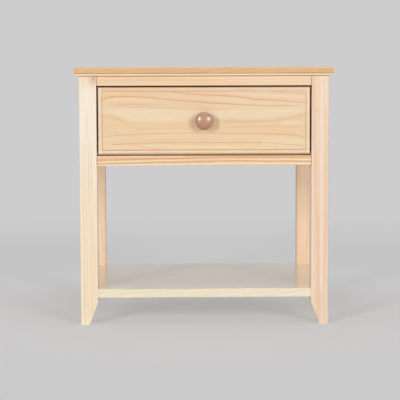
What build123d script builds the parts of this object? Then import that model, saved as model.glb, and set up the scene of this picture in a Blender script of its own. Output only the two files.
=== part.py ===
"""Solid pine nightstand: four tapered legs, one inset drawer on roller slides and an open shelf.

Millimetres, +Z up. The front faces -Y and +X is to the right as seen from the front. The origin is on
the floor, under the middle of the footprint, which runs from the knob to the backs of the rear legs.
"""

import os
from math import sqrt

from build123d import *

# Frame, over the outer faces of the legs
frame_width = 544.0
frame_depth = 416.0
overall_height = 564.0

# Legs: square, with the two inner faces tapered at the foot
leg_size = 38.0
leg_edge = 1.5
foot_size = 19.5
taper_height = 48.0

# Top: rounded upper edge, flat band, a step in and a quarter-round under it, on the front and both sides
top_thickness = 19.0
top_edge = 2.0
step_in = 3.5
ovolo_radius = 5.0
ovolo_quirk = 0.5
ovolo_proud = 1.0  # how far the quarter-round stays outside the legs

# Front rails, lying flat between the front legs, and the drawer opening between them
upper_rail_height = 21.0
lower_rail_height = 22.0
rail_depth = 36.0
opening_height = 152.0
board_edge = 1.0  # eased front edges of rails and shelf

# Side aprons and back panel, set in from the outer faces of the legs
apron_thickness = 16.0
apron_recess = 4.0
back_thickness = 16.0
back_recess = 4.0

# Open shelf, notched round the legs
shelf_height = 60.0  # floor to the underside
shelf_thickness = 19.0
shelf_recess = 3.0  # of its ends from the outer faces of the legs
notch_gap = 0.5  # between the notches and the legs, front to back

# Drawer front: a V-shaped quirk frames the field, and the border outside it has a rounded edge
drawer_gap = 3.0
front_thickness = 19.0
border_width = 9.0  # from the edge to the middle of the quirk
border_edge = 4.0
quirk_width = 1.6
quirk_depth = 1.0

# Knob, turned
knob_radius = 19.6
knob_reach = 30.0
knob_foot_radius = 11.0
knob_foot_height = 2.5
knob_waist_radius = 8.0
knob_neck_radius = 9.0
knob_neck_height = 10.5  # where the neck runs into the underside of the head
knob_dome_radius = 38.0
knob_rim_radius = 8.5

# Drawer box
box_wall = 12.0
box_height = 112.0
back_gap = 25.0  # between the drawer box and the back panel
box_rise = 12.0  # from the bottom of the opening to the bottom of the box
wall_edge = 3.0  # rounded upper edges of the sides
bottom_thickness = 4.0
bottom_rise = 10.0
groove_depth = 6.0
groove_clearance = 0.2

# Roller slides: a rail on the carcass and an arm under the drawer, both bent from sheet
slide_space = 12.5  # between the leg and the drawer side
slide_setback = 2.0  # behind the drawer front
slide_overlap = 95.0  # length of the arm still in the rail at full travel
sheet = 1.2
running_gap = 0.3
arm_rise = 3.8  # from the underside of the rail to the underside of the arm
track_width = 10.0
lip_width = 6.0
arm_flange_gap = 1.8  # between the arm's flange and the rail's web
arm_ledge = 11.0  # the arm's ledge under the drawer side
stop_radius = 2.0
tab_width = 8.0
tab_height = 16.0
cleat_height = 40.0

# Rollers and their axles
roller_radius = 10.0
roller_width = 6.8
roller_edge = 0.8
roller_recess = 1.6
roller_recess_radius = 5.5
roller_end_margin = 2.0  # from the front end of the rail to its roller
bearing_clearance = 0.05
axle_radius = 3.0
axle_collar_radius = 4.5
axle_head_radius = 4.5
axle_head_height = 1.0
rivet_radius = 2.0

# Dowels and cam fittings
bore_clearance = 0.05
dowel_radius = 4.0
dowel_length = 30.0
dowel_edge = 1.0
cam_radius = 7.5
cam_height = 12.5
cam_setback = 24.0  # from the joint to the middle of the cam
cam_pin_depth = 8.5  # from the drilled face to the pin
cam_mouth_radius = 3.5
cam_mouth_depth = 12.0
cam_slot_length = 9.0
cam_slot_width = 2.0
cam_slot_depth = 3.0
pin_radius = 2.5
pin_thread = 11.0  # length in the leg or the top
pin_head_radius = 3.2
pin_head_length = 4.0
pin_bore_radius = 3.6

# Screws
screw_radius = 1.75
screw_head_radius = 3.5
screw_head_height = 1.2
screw_tip_room = 0.5
box_screw_bite = 24.0
box_screw_counterbore = 2.0
front_screw_bite = 11.0
rail_screw_bite = 13.0
arm_screw_bite = 8.0
cleat_screw_bite = 10.0
cleat_screw_counterbore = 6.0
knob_screw_radius = 2.0
knob_screw_bite = 14.0
knob_screw_head_radius = 4.0
knob_screw_head_height = 2.5
knob_screw_clearance = 0.2

# Where the fittings sit, from the edges of the boards they join
rail_dowel_setback = 9.0
rail_pin_setback = 27.0
shelf_dowel_setback = 10.0
shelf_pin_setback = 27.0
panel_dowel_inset = 25.0
panel_pin_inset = 60.0
top_pin_inset = 60.0
slide_screw_inset = 40.0
cleat_screw_inset = 90.0
box_screw_rise = 40.0
box_screw_drop = 24.0
front_screw_inset = 60.0
front_screw_rise = 30.0
front_screw_drop = 27.0

# Planes of the frame that follow from the sizes
leg_front = (knob_reach - frame_depth) / 2
leg_back = leg_front + frame_depth
side_face = frame_width / 2
inner_face = side_face - leg_size
leg_length = overall_height - top_thickness
leg_x = side_face - leg_size / 2
front_leg_y = leg_front + leg_size / 2
rear_leg_y = leg_back - leg_size / 2
bay_front = leg_front + leg_size  # the legs' faces towards each other, front to back
bay_back = leg_back - leg_size

step_height = ovolo_radius + ovolo_quirk
top_overhang = step_in + ovolo_radius + ovolo_proud

opening_top = leg_length - upper_rail_height
opening_bottom = opening_top - opening_height
case_bottom = opening_bottom - lower_rail_height

apron_inner = side_face - apron_recess - apron_thickness
apron_mid = apron_inner + apron_thickness / 2
back_inner = leg_back - back_recess - back_thickness
back_mid = back_inner + back_thickness / 2
shelf_mid = shelf_height + shelf_thickness / 2
shelf_end = side_face - shelf_recess

# Planes of the drawer
drawer_mid = (opening_top + opening_bottom) / 2
drawer_width = 2 * (inner_face - drawer_gap)
drawer_height = opening_height - 2 * drawer_gap
box_side = inner_face - slide_space  # outer faces of the drawer sides
box_inside = box_side - box_wall
box_front = leg_front + front_thickness
box_back = back_inner - back_gap
box_depth = box_back - box_front
box_bottom = opening_bottom + box_rise
box_top = box_bottom + box_height
bottom_underside = box_bottom + bottom_rise
groove_height = bottom_thickness + groove_clearance

# Planes of the slides
slide_front = box_front + slide_setback
slide_back = box_back
slide_length = slide_back - slide_front
drawer_travel = slide_length - slide_overlap
rail_bottom = box_bottom - sheet - arm_rise
track = rail_bottom + sheet
axle_z = track + running_gap + roller_radius
arm_flange = axle_z + roller_radius + running_gap
arm_top = arm_flange + sheet
rail_top = arm_top + running_gap + sheet
rail_axle_y = slide_front + roller_end_margin + roller_radius
arm_axle_y = slide_back - sheet - running_gap - roller_radius
roller_offset = (slide_space - roller_width) / 2
stop_reach = sqrt((roller_radius + stop_radius + running_gap) ** 2 - (axle_z - track) ** 2)
stop_y = arm_axle_y - drawer_travel - stop_reach
cleat_bottom = axle_z - cleat_height / 2

dowel_bore = dowel_radius + bore_clearance
pin_bore = pin_radius + bore_clearance
screw_bore = screw_radius + bore_clearance

# Joints in each leg row: (y, z) of the dowels and of the cam pins on the leg's face towards the middle
upper_rail_pin_z = leg_length - cam_pin_depth
lower_rail_pin_z = case_bottom + cam_pin_depth
shelf_pin_z = shelf_height + cam_pin_depth
back_pin_y = back_inner + cam_pin_depth
panel_dowel_zs = (case_bottom + panel_dowel_inset, leg_length - panel_dowel_inset)
panel_pin_zs = (case_bottom + panel_pin_inset, leg_length - panel_pin_inset)

upper_rail_dowels = [(leg_front + rail_dowel_setback, leg_length - upper_rail_height / 2)]
upper_rail_pins = [(leg_front + rail_pin_setback, upper_rail_pin_z)]
lower_rail_dowels = [(leg_front + rail_dowel_setback, case_bottom + lower_rail_height / 2)]
lower_rail_pins = [(leg_front + rail_pin_setback, lower_rail_pin_z)]
back_dowels = [(back_mid, z) for z in panel_dowel_zs]
back_pins = [(back_pin_y, z) for z in panel_pin_zs]
shelf_front_dowels = [(leg_front + shelf_dowel_setback, shelf_mid)]
shelf_rear_dowels = [(leg_back - shelf_dowel_setback, shelf_mid)]
shelf_front_pins = [(leg_front + shelf_pin_setback, shelf_pin_z)]
shelf_rear_pins = [(leg_back - shelf_pin_setback, shelf_pin_z)]

leg_dowels = {
    "front": upper_rail_dowels + lower_rail_dowels + shelf_front_dowels,
    "rear": back_dowels + shelf_rear_dowels,
}
leg_pins = {
    "front": upper_rail_pins + lower_rail_pins + shelf_front_pins,
    "rear": back_pins + shelf_rear_pins,
}

# Joints of the aprons and the top
apron_dowels = [(apron_mid, z) for z in panel_dowel_zs]
top_pin_x = apron_inner + cam_pin_depth
top_pin_ys = (bay_front + top_pin_inset, bay_back - top_pin_inset)
leg_centers = [(x, y) for x in (-leg_x, leg_x) for y in (front_leg_y, rear_leg_y)]

# Screws of the slides and the drawer
slide_middle = (slide_front + slide_back) / 2
slide_screw_ys = (slide_front + slide_screw_inset, slide_middle, slide_back - slide_screw_inset)
cleat_screw_ys = (slide_front + cleat_screw_inset, slide_back - cleat_screw_inset)
arm_screw_x = box_side - box_wall / 2
box_screw_ys = (box_front + box_wall / 2, box_back - box_wall / 2)
box_screw_zs = (box_bottom + box_screw_rise, box_top - box_screw_drop)
front_screw_xs = (front_screw_inset - box_inside, box_inside - front_screw_inset)
front_screw_zs = (box_bottom + front_screw_rise, box_top - front_screw_drop)

LEFT = (-1, 0, 0)
RIGHT = (1, 0, 0)
FRONT = (0, -1, 0)
BACK = (0, 1, 0)
DOWN = (0, 0, -1)
UP = (0, 0, 1)

os.makedirs("parts", exist_ok=True)


def finish(piece, name):
    """Label a piece and write it."""
    piece.part.label = name
    export_step(piece.part, f"parts/{name}.step")


def finish_pair(piece, name):
    """Write a right-hand piece and its mirror image on the left."""
    finish(piece, f"{name}_right")
    with BuildPart() as left:
        mirror(piece.part, about=Plane.YZ)
    finish(left, f"{name}_left")


def board(low, high):
    """Add a plain board between two opposite corners to the part being built."""
    sizes = [b - a for a, b in zip(low, high)]
    with Locations(low):
        Box(*sizes, align=(Align.MIN, Align.MIN, Align.MIN))


def end_planes(points):
    """Planes on both ends of a board between the legs, facing outward, at these (y, z) points."""
    return [Plane((s * inner_face, y, z), z_dir=(s, 0, 0)) for s in (-1, 1) for y, z in points]


def drill_ends(dowels, pins):
    """Drill a board between the legs for its dowels and cam pins, at both ends."""
    with Locations(*end_planes(dowels)):
        Hole(dowel_bore, dowel_length / 2)
    with Locations(*end_planes(pins)):
        Hole(pin_bore_radius, cam_setback)


def cam_planes(points, facing):
    """Planes of a board's cams, with x towards the leg; points are the cams' (y, z) on the drilled face."""
    x = inner_face - cam_setback
    return [Plane((s * x, y, z), x_dir=(s, 0, 0), z_dir=facing) for s in (-1, 1) for y, z in points]


upper_rail_cams = cam_planes([(y, leg_length) for y, z in upper_rail_pins], UP)
lower_rail_cams = cam_planes([(y, case_bottom) for y, z in lower_rail_pins], DOWN)
back_cams = cam_planes([(back_inner, z) for y, z in back_pins], FRONT)
shelf_cams = cam_planes([(y, shelf_height) for y, z in shelf_front_pins + shelf_rear_pins], DOWN)
right_top_cams = [
    Plane((apron_inner, y, leg_length - cam_setback), x_dir=UP, z_dir=LEFT) for y in top_pin_ys
]


# Legs
foot_shift = (leg_size - foot_size) / 2
for row, leg_y, outward, toward_bay in (
    ("front", front_leg_y, -1, BACK),
    ("rear", rear_leg_y, 1, FRONT),
):
    floor = Plane((leg_x, leg_y, 0))
    apron_end = leg_y - outward * leg_size / 2
    with BuildPart() as leg:
        with BuildSketch(floor):
            with Locations((foot_shift, outward * foot_shift)):
                RectangleRounded(foot_size, foot_size, leg_edge)
        with BuildSketch(floor.offset(taper_height)):
            RectangleRounded(leg_size, leg_size, leg_edge)
        loft()
        with BuildSketch(floor.offset(taper_height)):
            RectangleRounded(leg_size, leg_size, leg_edge)
        extrude(amount=leg_length - taper_height)
        with Locations(*[Plane((inner_face, y, z), z_dir=LEFT) for y, z in leg_dowels[row]]):
            Hole(dowel_bore, dowel_length / 2)
        with Locations(*[Plane((inner_face, y, z), z_dir=LEFT) for y, z in leg_pins[row]]):
            Hole(pin_bore, pin_thread)
        with Locations(*[Plane((x, apron_end, z), z_dir=toward_bay) for x, z in apron_dowels]):
            Hole(dowel_bore, dowel_length / 2)
        with Locations(Plane((leg_x, leg_y, leg_length))):
            Hole(dowel_bore, dowel_length / 2)
    finish_pair(leg, f"leg_{row}")

# Top panel
with BuildPart() as top_panel:
    band_half = side_face + top_overhang
    ovolo_half = band_half - step_in
    band_front = leg_front - top_overhang
    board((-ovolo_half, band_front + step_in, leg_length), (ovolo_half, leg_back, leg_length + step_height))
    under_edges = top_panel.faces().sort_by(Axis.Z)[0].edges().sort_by(Axis.Y)[:-1]
    fillet(under_edges, ovolo_radius)
    board((-band_half, band_front, leg_length + step_height), (band_half, leg_back, overall_height))
    upper_edges = top_panel.faces().sort_by(Axis.Z)[-1].edges().sort_by(Axis.Y)[:-1]
    fillet(upper_edges, top_edge)
    with Locations(*[Plane((x, y, leg_length), z_dir=DOWN) for x, y in leg_centers]):
        Hole(dowel_bore, dowel_length / 2)
    with Locations(
        *[Plane((x, y, leg_length), z_dir=DOWN) for x in (-top_pin_x, top_pin_x) for y in top_pin_ys]
    ):
        Hole(pin_bore, pin_thread)
finish(top_panel, "top_panel")

# Front rails
for name, low, high, dowels, pins, cams in (
    ("upper_front_rail", opening_top, leg_length, upper_rail_dowels, upper_rail_pins, upper_rail_cams),
    ("lower_front_rail", case_bottom, opening_bottom, lower_rail_dowels, lower_rail_pins, lower_rail_cams),
):
    with BuildPart() as rail:
        board((-inner_face, leg_front, low), (inner_face, leg_front + rail_depth, high))
        fillet(rail.faces().sort_by(Axis.Y)[0].edges().filter_by(Axis.X), board_edge)
        drill_ends(dowels, pins)
        with Locations(*cams):
            Hole(cam_radius + bore_clearance, cam_height)
    finish(rail, name)

# Side aprons
with BuildPart() as side_apron:
    board((apron_inner, bay_front, case_bottom), (apron_inner + apron_thickness, bay_back, leg_length))
    fillet(side_apron.faces().sort_by(Axis.Z)[0].edges().filter_by(Axis.Y), board_edge)
    with Locations(
        *[Plane((x, bay_front, z), z_dir=FRONT) for x, z in apron_dowels],
        *[Plane((x, bay_back, z), z_dir=BACK) for x, z in apron_dowels],
    ):
        Hole(dowel_bore, dowel_length / 2)
    with Locations(*[Plane((top_pin_x, y, leg_length)) for y in top_pin_ys]):
        Hole(pin_bore_radius, cam_setback)
    with Locations(*right_top_cams):
        Hole(cam_radius + bore_clearance, cam_height)
    with Locations(*[Plane((apron_inner, y, axle_z), z_dir=LEFT) for y in cleat_screw_ys]):
        Hole(screw_bore, cleat_screw_bite + screw_tip_room)
finish_pair(side_apron, "side_apron")

# Back panel
with BuildPart() as back_panel:
    board((-inner_face, back_inner, case_bottom), (inner_face, back_inner + back_thickness, leg_length))
    fillet(back_panel.faces().sort_by(Axis.Z)[0].edges().filter_by(Axis.X), board_edge)
    drill_ends(back_dowels, back_pins)
    with Locations(*back_cams):
        Hole(cam_radius + bore_clearance, cam_height)
finish(back_panel, "back_panel")

# Shelf
shelf_top = shelf_height + shelf_thickness
with BuildPart() as shelf:
    board((-inner_face, leg_front, shelf_height), (inner_face, leg_back, shelf_top))
    board((-shelf_end, bay_front + notch_gap, shelf_height), (shelf_end, bay_back - notch_gap, shelf_top))
    for axis, along in ((Axis.Y, Axis.X), (Axis.X, Axis.Y)):
        for end in (0, -1):
            fillet(shelf.faces().sort_by(axis)[end].edges().filter_by(along), board_edge)
    drill_ends(shelf_front_dowels + shelf_rear_dowels, shelf_front_pins + shelf_rear_pins)
    with Locations(*shelf_cams):
        Hole(cam_radius + bore_clearance, cam_height)
finish(shelf, "shelf")

# Cleats that bring the slides flush with the legs
with BuildPart() as slide_cleat:
    board((inner_face, bay_front, cleat_bottom), (apron_inner, bay_back, cleat_bottom + cleat_height))
    with Locations(*[Plane((inner_face, y, axle_z), z_dir=LEFT) for y in slide_screw_ys]):
        Hole(screw_bore, rail_screw_bite + screw_tip_room)
    with Locations(*[Plane((inner_face, y, axle_z), z_dir=LEFT) for y in cleat_screw_ys]):
        CounterBoreHole(screw_bore, screw_head_radius + bore_clearance, cleat_screw_counterbore)
finish_pair(slide_cleat, "slide_cleat")

# Slide rails on the carcass: a C-shaped track with a stop in it and a tab at the back
with BuildPart() as slide_rail:
    web_face = inner_face - sheet
    with BuildSketch(Plane.XZ.offset(-slide_back)) as rail_section:
        with BuildLine():
            Polyline(
                (inner_face, rail_bottom),
                (inner_face, rail_top),
                (inner_face - lip_width, rail_top),
                (inner_face - lip_width, rail_top - sheet),
                (web_face, rail_top - sheet),
                (web_face, track),
                (inner_face - track_width, track),
                (inner_face - track_width, rail_bottom),
                close=True,
            )
        make_face()
        fillet(rail_section.vertices().group_by(Axis.X)[-1], sheet)
    extrude(amount=slide_length)
    board((web_face - tab_width, slide_back - sheet, track), (web_face, slide_back, track + tab_height))
    with BuildSketch(Plane.YZ.offset(inner_face - track_width)):
        with BuildLine():
            CenterArc((stop_y, track), stop_radius, 0, 180)
            Line((stop_y - stop_radius, track), (stop_y + stop_radius, track))
        make_face()
    extrude(amount=track_width - sheet)
    with Locations(*[Plane((web_face, y, axle_z), z_dir=LEFT) for y in slide_screw_ys]):
        Hole(screw_bore)
    with Locations(Plane((web_face, rail_axle_y, axle_z), z_dir=LEFT)):
        Hole(rivet_radius + bore_clearance)
finish_pair(slide_rail, "slide_rail")

# Slide arms under the drawer: a ledge below the side, a web beside it and a flange on the rail's roller
with BuildPart() as slide_arm:
    ledge_top = box_bottom
    ledge_underside = box_bottom - sheet
    arm_web = box_side + sheet
    flange_edge = inner_face - sheet - arm_flange_gap
    with BuildSketch(Plane.XZ.offset(-slide_back)) as arm_section:
        with BuildLine():
            Polyline(
                (box_side - arm_ledge, ledge_underside),
                (arm_web, ledge_underside),
                (arm_web, arm_flange),
                (flange_edge, arm_flange),
                (flange_edge, arm_top),
                (box_side, arm_top),
                (box_side, ledge_top),
                (box_side - arm_ledge, ledge_top),
                close=True,
            )
        make_face()
        upper_bend = arm_section.vertices().group_by(Axis.X)[1].sort_by(Axis.Y)[-1]
        lower_bend = arm_section.vertices().group_by(Axis.X)[2].sort_by(Axis.Y)[0]
        fillet([upper_bend, lower_bend], sheet)
    extrude(amount=slide_length)
    with Locations(*[Plane((arm_screw_x, y, ledge_underside), z_dir=DOWN) for y in slide_screw_ys]):
        Hole(screw_bore)
    with Locations(Plane((arm_web, arm_axle_y, axle_z), z_dir=RIGHT)):
        Hole(rivet_radius + bore_clearance)
finish_pair(slide_arm, "slide_arm")

# Rollers, with the recess for the axle's head on the side away from what carries them
right_axles = {
    "rail": Plane((inner_face, rail_axle_y, axle_z), z_dir=LEFT),
    "arm": Plane((box_side, arm_axle_y, axle_z), z_dir=RIGHT),
}
for carrier, axle_plane in right_axles.items():
    with BuildPart() as roller:
        with BuildSketch(axle_plane.offset(roller_offset)):
            Circle(roller_radius)
        extrude(amount=roller_width)
        fillet(roller.edges().filter_by(GeomType.CIRCLE), roller_edge)
        with Locations(axle_plane.offset(roller_offset + roller_width)):
            CounterBoreHole(axle_radius + bearing_clearance, roller_recess_radius, roller_recess)
    finish_pair(roller, f"{carrier}_roller")

# Axles: a rivet through the sheet, a collar, the bearing and a head in the roller's recess
axle_head_start = roller_offset + roller_width - roller_recess + running_gap
for carrier, axle_plane in right_axles.items():
    with BuildPart() as axle:
        with BuildSketch(axle_plane):
            Circle(rivet_radius)
        extrude(amount=sheet)
        with BuildSketch(axle_plane.offset(sheet)):
            Circle(axle_collar_radius)
        extrude(amount=roller_offset - running_gap - sheet)
        with BuildSketch(axle_plane.offset(roller_offset - running_gap)):
            Circle(axle_radius)
        extrude(amount=axle_head_start - roller_offset + running_gap)
        with BuildSketch(axle_plane.offset(axle_head_start)):
            Circle(axle_head_radius)
        extrude(amount=axle_head_height)
    finish_pair(axle, f"{carrier}_axle")

# Drawer front
field_x = drawer_width / 2 - border_width
field_bottom = drawer_mid - drawer_height / 2 + border_width
field_top = drawer_mid + drawer_height / 2 - border_width
with BuildPart() as drawer_front:
    with BuildSketch(Plane.XZ.offset(-box_front)):
        with Locations((0, drawer_mid)):
            Rectangle(drawer_width, drawer_height)
    extrude(amount=front_thickness)
    fillet(drawer_front.faces().sort_by(Axis.Y)[0].edges(), border_edge)
    with BuildLine(Plane.XZ.offset(-leg_front)):
        Polyline(
            (0, field_bottom),
            (field_x, field_bottom),
            (field_x, field_top),
            (-field_x, field_top),
            (-field_x, field_bottom),
            close=True,
        )
    with BuildSketch(Plane((0, leg_front, field_bottom), x_dir=UP, z_dir=RIGHT)):
        Polygon((-quirk_width / 2, 0), (quirk_width / 2, 0), (0, -quirk_depth), align=None)
    sweep(transition=Transition.RIGHT, mode=Mode.SUBTRACT)
    with Locations(Plane((0, box_front, drawer_mid), z_dir=BACK)):
        Hole(knob_screw_radius + knob_screw_clearance)
    with Locations(*[Plane((x, box_front, z), z_dir=BACK) for x in front_screw_xs for z in front_screw_zs]):
        Hole(screw_bore, front_screw_bite + screw_tip_room)
finish(drawer_front, "drawer_front")

# Drawer box
with BuildPart() as drawer_side:
    board((box_inside, box_front, box_bottom), (box_side, box_back, box_top))
    fillet(drawer_side.faces().sort_by(Axis.Z)[-1].edges().filter_by(Axis.Y), wall_edge)
    with BuildSketch(Plane.XZ.offset(-box_back)):
        with Locations((box_inside, bottom_underside)):
            Rectangle(groove_depth, groove_height, align=(Align.MIN, Align.MIN))
    extrude(amount=box_depth, mode=Mode.SUBTRACT)
    with Locations(*[Plane((box_side, y, z), z_dir=RIGHT) for y in box_screw_ys for z in box_screw_zs]):
        CounterBoreHole(screw_bore, screw_head_radius + bore_clearance, box_screw_counterbore)
    with Locations(*[Plane((arm_screw_x, y, box_bottom), z_dir=DOWN) for y in slide_screw_ys]):
        Hole(screw_bore, arm_screw_bite + screw_tip_room)
finish_pair(drawer_side, "drawer_side")

for name, wall_front, groove_front, screw_y in (
    ("drawer_box_front", box_front, box_front + box_wall - groove_depth, box_screw_ys[0]),
    ("drawer_back", box_back - box_wall, box_back - box_wall, box_screw_ys[1]),
):
    with BuildPart() as wall:
        board((-box_inside, wall_front, box_bottom), (box_inside, wall_front + box_wall, box_top))
        with BuildSketch(Plane.XY.offset(bottom_underside)):
            with Locations((0, groove_front)):
                Rectangle(2 * box_inside, groove_depth, align=(Align.CENTER, Align.MIN))
        extrude(amount=groove_height, mode=Mode.SUBTRACT)
        with Locations(
            *[Plane((s * box_inside, screw_y, z), z_dir=(s, 0, 0)) for s in (-1, 1) for z in box_screw_zs]
        ):
            Hole(screw_bore, box_screw_bite + screw_tip_room)
        if wall_front == box_front:
            with Locations(Plane((0, box_front, drawer_mid), z_dir=FRONT)):
                Hole(knob_screw_radius + knob_screw_clearance)
            with Locations(
                *[Plane((x, box_front, z), z_dir=FRONT) for x in front_screw_xs for z in front_screw_zs]
            ):
                Hole(screw_bore)
    finish(wall, name)

with BuildPart() as drawer_bottom:
    bottom_half = box_inside + groove_depth - groove_clearance
    bottom_front = box_front + box_wall - groove_depth + groove_clearance
    bottom_back = box_back - box_wall + groove_depth - groove_clearance
    board(
        (-bottom_half, bottom_front, bottom_underside),
        (bottom_half, bottom_back, bottom_underside + bottom_thickness),
    )
finish(drawer_bottom, "drawer_bottom")

# Knob, turned about its own axis; x is the radius and y the height above the drawer front
knob_plane = Plane((0, leg_front, drawer_mid), x_dir=RIGHT, z_dir=DOWN)
knob_waist_height = (knob_foot_height + knob_neck_height) / 2
with BuildPart() as knob:
    with BuildSketch(knob_plane) as knob_profile:
        with Locations((0, knob_neck_height)):
            Rectangle(knob_radius, knob_reach - knob_neck_height, align=(Align.MIN, Align.MIN))
        with Locations((0, knob_reach - knob_dome_radius)):
            Circle(knob_dome_radius, mode=Mode.INTERSECT)
        fillet(knob_profile.vertices().group_by(Axis.X)[-1], knob_rim_radius)
        with BuildLine():
            foot = Polyline(
                (0, knob_neck_height), (0, 0), (knob_foot_radius, 0), (knob_foot_radius, knob_foot_height)
            )
            ThreePointArc(
                foot @ 1, (knob_waist_radius, knob_waist_height), (knob_neck_radius, knob_neck_height)
            )
            Line((knob_neck_radius, knob_neck_height), (0, knob_neck_height))
        make_face()
        Rectangle(
            knob_screw_radius + bore_clearance,
            knob_screw_bite + screw_tip_room,
            align=(Align.MIN, Align.MIN),
            mode=Mode.SUBTRACT,
        )
    revolve(axis=Axis((0, leg_front, drawer_mid), FRONT))
finish(knob, "knob")

with BuildPart() as knob_screw:
    with BuildSketch(Plane.XZ.offset(-box_front - box_wall)):
        with Locations((0, drawer_mid)):
            Circle(knob_screw_radius)
    extrude(amount=box_wall + front_thickness + knob_screw_bite)
    with BuildSketch(Plane.XZ.offset(-box_front - box_wall)):
        with Locations((0, drawer_mid)):
            Circle(knob_screw_head_radius)
    extrude(amount=-knob_screw_head_height)
finish(knob_screw, "knob_screw")

# Dowels
with BuildPart(mode=Mode.PRIVATE) as dowel:
    Cylinder(dowel_radius, dowel_length)
    chamfer(dowel.edges().filter_by(GeomType.CIRCLE), dowel_edge)
all_cross_dowels = leg_dowels["front"] + leg_dowels["rear"]
with BuildPart() as dowels:
    with Locations(*end_planes(all_cross_dowels)):
        add(dowel.part)
    with Locations(
        *[
            Plane((s * x, y, z), z_dir=BACK)
            for s in (-1, 1)
            for x, z in apron_dowels
            for y in (bay_front, bay_back)
        ]
    ):
        add(dowel.part)
    with Locations(*[(x, y, leg_length) for x, y in leg_centers]):
        add(dowel.part)
finish(dowels, "dowels")

# Cam locks, with the driver's cross in the face and a mouth for the pin's head in the side
with BuildPart(mode=Mode.PRIVATE) as cam:
    Cylinder(cam_radius, cam_height, align=(Align.CENTER, Align.CENTER, Align.MAX))
    with Locations(Plane((cam_radius, 0, -cam_pin_depth), z_dir=RIGHT)):
        Hole(cam_mouth_radius, cam_mouth_depth)
    with BuildSketch():
        Rectangle(cam_slot_length, cam_slot_width)
        Rectangle(cam_slot_width, cam_slot_length)
    extrude(amount=-cam_slot_depth, mode=Mode.SUBTRACT)
left_top_cams = [
    Plane((-apron_inner, y, leg_length - cam_setback), x_dir=UP, z_dir=RIGHT) for y in top_pin_ys
]
with BuildPart() as cam_locks:
    with Locations(
        *upper_rail_cams, *lower_rail_cams, *back_cams, *shelf_cams, *right_top_cams, *left_top_cams
    ):
        add(cam.part)
finish(cam_locks, "cam_locks")

# Cam pins, from the bottom of their bores to the middle of the cams
with BuildPart(mode=Mode.PRIVATE) as pin:
    with BuildSketch(Plane.XY.offset(-pin_thread)):
        Circle(pin_radius)
    extrude(amount=pin_thread + cam_setback - pin_head_length / 2)
    with BuildSketch(Plane.XY.offset(cam_setback - pin_head_length / 2)):
        Circle(pin_head_radius)
    extrude(amount=pin_head_length)
cross_pins = leg_pins["front"] + leg_pins["rear"]
with BuildPart() as cam_pins:
    with Locations(
        *[Plane((s * inner_face, y, z), z_dir=(-s, 0, 0)) for s in (-1, 1) for y, z in cross_pins]
    ):
        add(pin.part)
    with Locations(
        *[Plane((x, y, leg_length), z_dir=DOWN) for x in (-top_pin_x, top_pin_x) for y in top_pin_ys]
    ):
        add(pin.part)
finish(cam_pins, "cam_pins")


def screw(length):
    """A flat-headed screw with its head on the XY plane and its shank below it."""
    with BuildPart(mode=Mode.PRIVATE) as one:
        Cylinder(screw_head_radius, screw_head_height, align=(Align.CENTER, Align.CENTER, Align.MIN))
        Cylinder(screw_radius, length, align=(Align.CENTER, Align.CENTER, Align.MAX))
    return one.part


# Screws of the slides
rail_screw = screw(sheet + rail_screw_bite)
with BuildPart() as rail_screws:
    with Locations(
        *[Plane((s * web_face, y, axle_z), z_dir=(-s, 0, 0)) for s in (-1, 1) for y in slide_screw_ys]
    ):
        add(rail_screw)
finish(rail_screws, "rail_screws")

cleat_shoulder = inner_face + cleat_screw_counterbore
cleat_screw = screw(apron_inner - cleat_shoulder + cleat_screw_bite)
with BuildPart() as cleat_screws:
    with Locations(
        *[Plane((s * cleat_shoulder, y, axle_z), z_dir=(-s, 0, 0)) for s in (-1, 1) for y in cleat_screw_ys]
    ):
        add(cleat_screw)
finish(cleat_screws, "cleat_screws")

arm_screw = screw(sheet + arm_screw_bite)
with BuildPart() as arm_screws:
    with Locations(
        *[Plane((s * arm_screw_x, y, ledge_underside), z_dir=DOWN) for s in (-1, 1) for y in slide_screw_ys]
    ):
        add(arm_screw)
finish(arm_screws, "arm_screws")

# Screws of the drawer box
box_shoulder = box_side - box_screw_counterbore
box_screw = screw(box_shoulder - box_inside + box_screw_bite)
box_screw_spots = [(s, y, z) for s in (-1, 1) for y in box_screw_ys for z in box_screw_zs]
with BuildPart() as box_screws:
    with Locations(*[Plane((s * box_shoulder, y, z), z_dir=(s, 0, 0)) for s, y, z in box_screw_spots]):
        add(box_screw)
finish(box_screws, "box_screws")

front_screw = screw(box_wall + front_screw_bite)
with BuildPart() as front_screws:
    with Locations(
        *[Plane((x, box_front + box_wall, z), z_dir=BACK) for x in front_screw_xs for z in front_screw_zs]
    ):
        add(front_screw)
finish(front_screws, "front_screws")
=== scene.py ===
# %% [markdown]
# A pine nightstand
#
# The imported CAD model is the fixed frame: every board, slide, roller and screw is already in its place, in
# metres, with the floor at Z = 0 and the front facing -Y. This lesson dresses it. The boards keep their CAD
# shapes and get finishes that are worked out from the tree they were sawn from, the screws get proper heads
# and threads, and a small studio is built around the piece.

from math import pi, radians

import bmesh
import bpy
from mathutils import Matrix, Vector


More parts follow.
